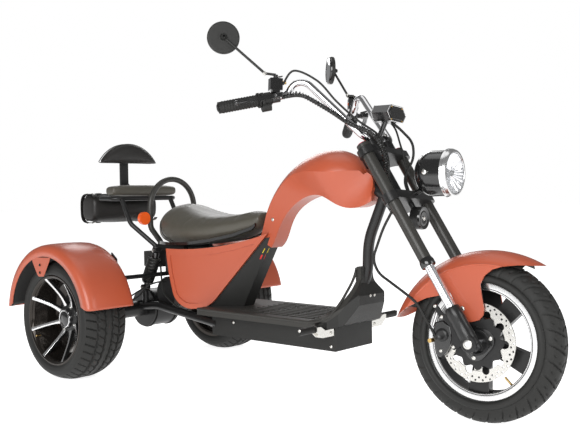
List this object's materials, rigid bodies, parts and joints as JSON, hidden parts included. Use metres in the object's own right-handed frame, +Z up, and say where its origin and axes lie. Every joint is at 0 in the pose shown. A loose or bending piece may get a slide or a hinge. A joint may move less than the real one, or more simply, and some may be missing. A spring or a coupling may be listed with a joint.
{
  "type": "electric trike",
  "caption": "Low electric three-wheeled cruiser with raked fork, high handlebar, step-through deck, padded seat, rear rack with backrest and wide rear tyres.",
  "frame": {"origin": "on the floor, under the centre of the outline's bounding box", "axes": "+X forward, +Y to the rider's left, +Z up; the fork is stored turned 6.5 degrees to the left"},
  "size_m": [1.972, 0.965, 1.1846],
  "materials": {
    "orange_paint": "satin",
    "black_paint": "satin",
    "black_plastic": "matte",
    "gloss_black": "gloss",
    "grey_deck": "ribbed",
    "black_rubber": "matte",
    "tyre": "matte",
    "chrome": "polished",
    "bright_steel": "satin",
    "cast_alloy": "machined",
    "brown_vinyl": "soft vinyl",
    "black_vinyl": "soft vinyl",
    "clear_lens": "clear",
    "amber_lens": "gloss",
    "red_lens": "gloss"
  },
  "bodies": {
    "chassis": {"axle_housing": "black_paint", "backrest_pad": "black_vinyl", "backrest_post": "black_paint", "battery_box": "black_plastic", "belly_panel": "black_plastic", "control_box": "black_plastic", "drive_motor": "black_paint", "fender_bar": "black_paint", "floorboard": "grey_deck", "front_cover": "black_plastic", "grab_hoop": "black_paint", "main_frame": "black_paint", "peg_brackets": "bright_steel", "rack_cushion": "black_vinyl", "rear_fender_left": "orange_paint", "rear_fender_right": "orange_paint", "rear_rack": "black_paint", "seat": "brown_vinyl", "shocks": "black_paint", "side_panel_left": "orange_paint", "side_panel_right": "orange_paint", "tail_bag": "black_vinyl", "tail_lamp": "red_lens", "tail_rails": "black_paint", "tank_cover": "orange_paint", "turn_lamps": "amber_lens"},
    "fork": {"fork_tubes": "black_paint", "fork_sliders": "bright_steel", "lower_clamp": "black_paint", "upper_clamp": "black_paint", "handlebar": "chrome", "grips": "black_rubber", "brake_controls": "gloss_black", "switch_pods": "black_plastic", "mirrors": "black_plastic", "display_pod": "gloss_black", "headlight_bucket": "gloss_black", "headlight_ring": "chrome", "headlight_lens": "clear_lens", "horn": "black_paint", "front_fender": "orange_paint", "front_caliper": "black_paint", "brake_hose": "black_rubber", "control_loom": "black_rubber", "display_lead": "black_rubber"},
    "front_wheel": {"front_tyre": "tyre", "front_rim": "black_paint", "brake_disc": "bright_steel"},
    "rear_wheel_left": {"rear_tyre_left": "tyre", "rear_rim_left": "cast_alloy"},
    "rear_wheel_right": {"rear_tyre_right": "tyre", "rear_rim_right": "cast_alloy"},
    "peg_left": {"footpeg_left": "bright_steel"},
    "peg_right": {"footpeg_right": "bright_steel"}
  },
  "joints": [
    {"name": "steering", "type": "hinge", "parent": "chassis", "child": "fork", "pos_m": [0.42317, 0, 0.67859], "axis": [-0.5446, 0, 0.8387], "range_deg": [-38.5, 25.5]},
    {"name": "front_wheel_spin", "type": "hinge", "parent": "fork", "child": "front_wheel", "pos_m": [0.75733, 0.00396, 0.22788], "axis": [-0.0949, 0.9936, -0.0617], "continuous": true},
    {"name": "rear_wheel_left_spin", "type": "hinge", "parent": "chassis", "child": "rear_wheel_left", "pos_m": [-0.70448, 0.375, 0.215], "axis": [0, 1, 0], "continuous": true},
    {"name": "rear_wheel_right_spin", "type": "hinge", "parent": "chassis", "child": "rear_wheel_right", "pos_m": [-0.70448, -0.375, 0.215], "axis": [0, 1, 0], "continuous": true},
    {"name": "peg_left_fold", "type": "hinge", "parent": "chassis", "child": "peg_left", "pos_m": [0.26752, 0.168, 0.236], "axis": [1, 0, 0], "range_deg": [0, 80]},
    {"name": "peg_right_fold", "type": "hinge", "parent": "chassis", "child": "peg_right", "pos_m": [0.26752, -0.168, 0.236], "axis": [-1, 0, 0], "range_deg": [0, 80]}
  ]
}
